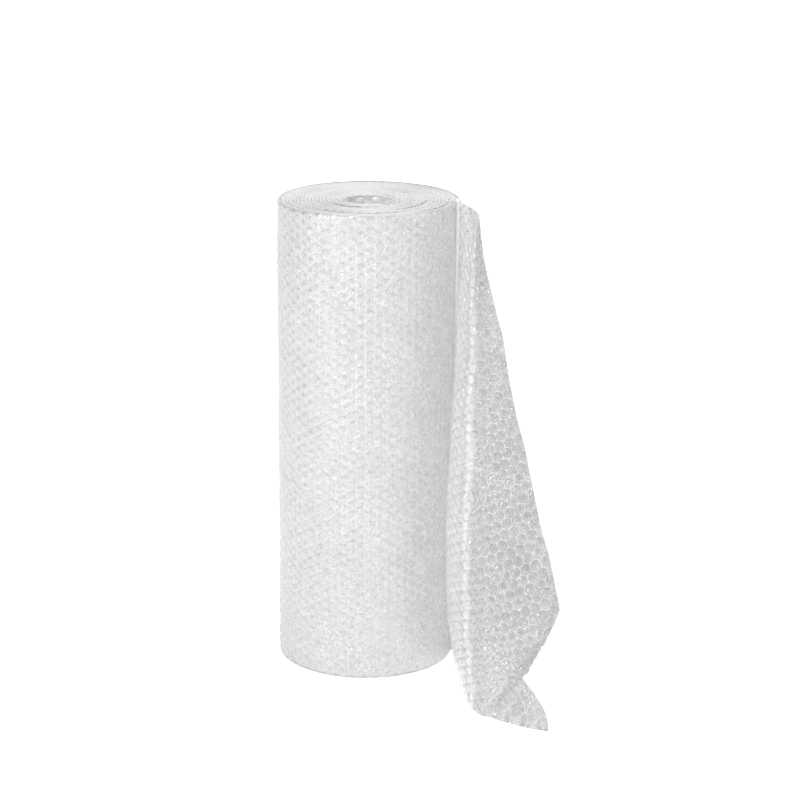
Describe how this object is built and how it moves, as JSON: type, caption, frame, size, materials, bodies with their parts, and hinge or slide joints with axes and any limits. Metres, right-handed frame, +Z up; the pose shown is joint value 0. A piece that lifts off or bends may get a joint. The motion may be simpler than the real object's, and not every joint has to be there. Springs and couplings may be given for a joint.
{
  "type": "roll of air bubble cushioning film",
  "caption": "Coreless roll of clear air bubble cushioning film that stands on its end, with the last part unwound as a free, skew-cut tail.",
  "frame": {"origin": "centre of the core hole, on the lower end face that the roll stands on", "axes": "+Z up along the roll's axis and core hole; the film leaves the roll on the +X side and runs towards -Y, where the viewer stands"},
  "size_m": [0.2889, 0.3352, 0.5],
  "materials": {
    "clear_film": "clear, milky where many layers lie on one another"
  },
  "bodies": {
    "root": {"bubble_film": "clear_film"}
  },
  "joints": []
}
